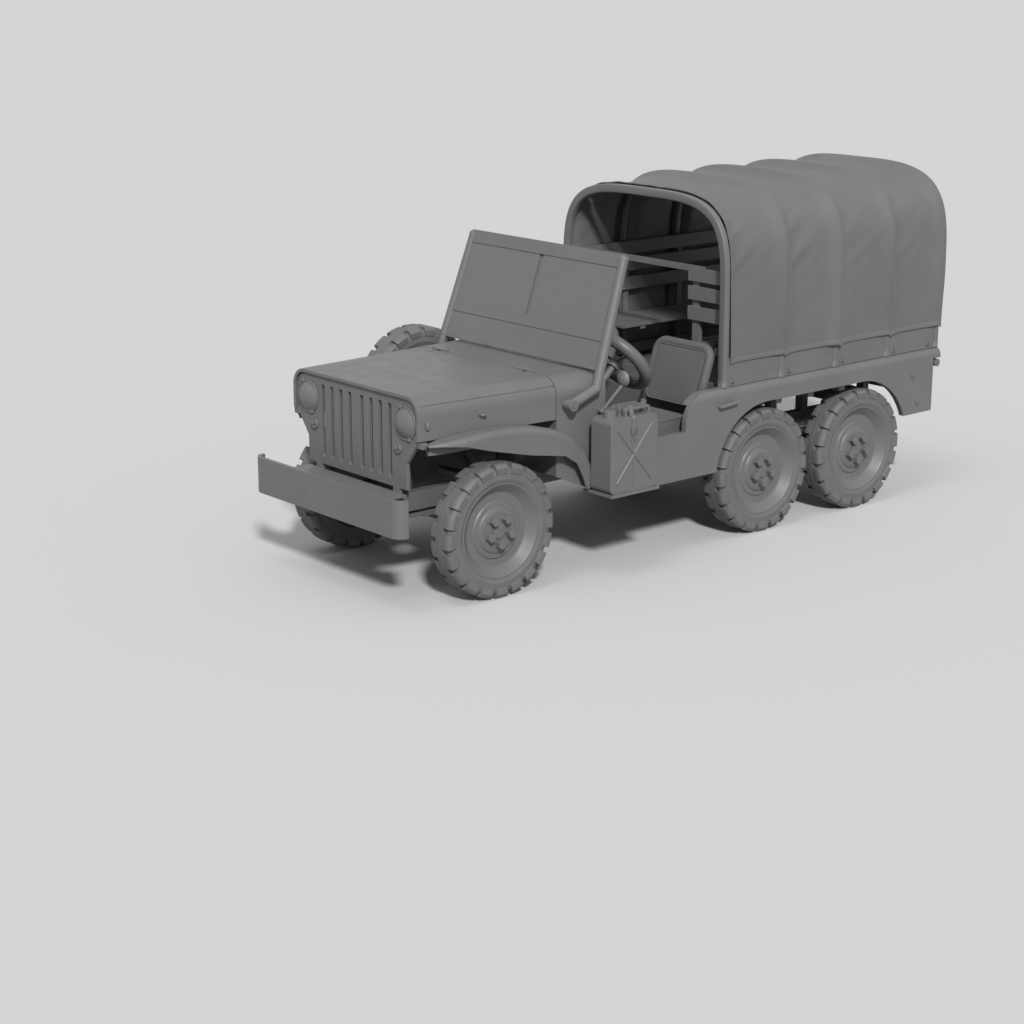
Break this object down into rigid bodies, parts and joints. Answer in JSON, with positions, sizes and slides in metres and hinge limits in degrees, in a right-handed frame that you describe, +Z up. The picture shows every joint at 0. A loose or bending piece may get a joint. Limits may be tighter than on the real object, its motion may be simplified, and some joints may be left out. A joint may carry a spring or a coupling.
{
  "type": "light six-wheel military cargo truck",
  "caption": "Open-cab light army cargo truck with a folding windscreen, slotted grille, twin rear axles and a canvas tilt over a slatted cargo bed.",
  "frame": {"origin": "on the ground, under the centre of the truck's bounding box", "axes": "+Z up, front of the truck towards -Y, the truck's left towards +X"},
  "size_m": [1.7495, 4.199, 2.04],
  "materials": {
    "body_paint": "matt grey paint",
    "chassis_paint": "matt dark grey paint",
    "black_fittings": "satin dark grey",
    "tyre_rubber": "matt rubber",
    "canvas": "woven canvas",
    "seat_cloth": "woven cloth",
    "painted_wood": "painted planks",
    "panes": "smooth grey, not clear",
    "lamp_glass": "smooth grey lens"
  },
  "bodies": {
    "chassis": {"frame_rails": "chassis_paint", "cross_members": "chassis_paint", "bumper": "body_paint", "springs": "chassis_paint", "front_axle": "chassis_paint", "rear_axles": "chassis_paint", "front_apron": "body_paint", "prop_shafts": "chassis_paint", "engine": "chassis_paint", "radiator": "chassis_paint", "exhaust": "chassis_paint", "grille": "body_paint", "lamps": "lamp_glass", "fender_left": "body_paint", "fender_right": "body_paint", "cowl": "body_paint", "cab_floor": "body_paint", "body_side_left": "body_paint", "body_side_right": "body_paint", "bed": "body_paint", "rack_left": "painted_wood", "rack_right": "painted_wood", "rack_front": "painted_wood", "side_boards": "painted_wood", "bows": "body_paint", "canvas": "canvas", "seat_frames": "body_paint", "seat_pads": "seat_cloth", "steering_column": "body_paint", "controls": "black_fittings", "mirror": "body_paint", "can_holder": "body_paint", "jerrycan": "body_paint", "spare_tyre": "tyre_rubber", "spare_rim": "body_paint"},
    "knuckle_left": {"knuckle_left": "chassis_paint"},
    "knuckle_right": {"knuckle_right": "chassis_paint"},
    "tie_rod": {"tie_rod": "chassis_paint"},
    "steering_wheel": {"steering_wheel": "black_fittings"},
    "windscreen": {"windscreen_frame": "body_paint", "windscreen_panes": "panes"},
    "hood": {"hood": "body_paint"},
    "tailgate": {"tailgate": "body_paint"},
    "bench_left": {"bench_left": "painted_wood"},
    "bench_right": {"bench_right": "painted_wood"},
    "wheel_front_left": {"tyre_front_left": "tyre_rubber", "rim_front_left": "body_paint"},
    "wheel_front_right": {"tyre_front_right": "tyre_rubber", "rim_front_right": "body_paint"},
    "wheel_middle_left": {"tyre_middle_left": "tyre_rubber", "rim_middle_left": "body_paint"},
    "wheel_middle_right": {"tyre_middle_right": "tyre_rubber", "rim_middle_right": "body_paint"},
    "wheel_rear_left": {"tyre_rear_left": "tyre_rubber", "rim_rear_left": "body_paint"},
    "wheel_rear_right": {"tyre_rear_right": "tyre_rubber", "rim_rear_right": "body_paint"}
  },
  "joints": [
    {"name": "steer_left", "type": "hinge", "parent": "chassis", "child": "knuckle_left", "pos_m": [0.5225, -1.45, 0.365], "axis": [0, 0, 1], "range_deg": [-25, 25]},
    {"name": "steer_right", "type": "hinge", "parent": "chassis", "child": "knuckle_right", "pos_m": [-0.5225, -1.45, 0.365], "axis": [0, 0, 1], "range_deg": [-25, 25]},
    {"name": "tie_rod_swing", "type": "hinge", "parent": "knuckle_left", "child": "tie_rod", "pos_m": [0.5225, -1.3, 0.263], "axis": [0, 0, 1], "range_deg": [-25, 25]},
    {"name": "steering_wheel_turn", "type": "hinge", "parent": "chassis", "child": "steering_wheel", "pos_m": [0.375, -0.335, 1.085], "axis": [0, 0.7432, 0.6691], "range_deg": [-360, 360]},
    {"name": "windscreen_fold", "type": "hinge", "parent": "chassis", "child": "windscreen", "pos_m": [0, -0.95, 0.966], "axis": [1, 0, 0], "range_deg": [0, 104]},
    {"name": "hood_open", "type": "hinge", "parent": "chassis", "child": "hood", "pos_m": [0, -1.007, 1.118], "axis": [1, 0, 0], "range_deg": [-60, 0]},
    {"name": "tailgate_drop", "type": "hinge", "parent": "chassis", "child": "tailgate", "pos_m": [0, 2.07, 0.804], "axis": [-1, 0, 0], "range_deg": [0, 90]},
    {"name": "bench_left_fold", "type": "hinge", "parent": "chassis", "child": "bench_left", "pos_m": [0.59, 1.15, 1.085], "axis": [0, 1, 0], "range_deg": [0, 90]},
    {"name": "bench_right_fold", "type": "hinge", "parent": "chassis", "child": "bench_right", "pos_m": [-0.59, 1.15, 1.085], "axis": [0, -1, 0], "range_deg": [0, 90]},
    {"name": "spin_front_left", "type": "hinge", "parent": "knuckle_left", "child": "wheel_front_left", "pos_m": [0.6225, -1.45, 0.365], "axis": [1, 0, 0], "continuous": true},
    {"name": "spin_front_right", "type": "hinge", "parent": "knuckle_right", "child": "wheel_front_right", "pos_m": [-0.6225, -1.45, 0.365], "axis": [1, 0, 0], "continuous": true},
    {"name": "spin_middle_left", "type": "hinge", "parent": "chassis", "child": "wheel_middle_left", "pos_m": [0.6225, 0.54, 0.365], "axis": [1, 0, 0], "continuous": true},
    {"name": "spin_middle_right", "type": "hinge", "parent": "chassis", "child": "wheel_middle_right", "pos_m": [-0.6225, 0.54, 0.365], "axis": [1, 0, 0], "continuous": true},
    {"name": "spin_rear_left", "type": "hinge", "parent": "chassis", "child": "wheel_rear_left", "pos_m": [0.6225, 1.37, 0.365], "axis": [1, 0, 0], "continuous": true},
    {"name": "spin_rear_right", "type": "hinge", "parent": "chassis", "child": "wheel_rear_right", "pos_m": [-0.6225, 1.37, 0.365], "axis": [1, 0, 0], "continuous": true}
  ],
  "couplings": [
    {"joint": "steer_right", "follows": "steer_left", "ratio": 1},
    {"joint": "tie_rod_swing", "follows": "steer_left", "ratio": -1},
    {"joint": "steering_wheel_turn", "follows": "steer_left", "ratio": 14}
  ]
}
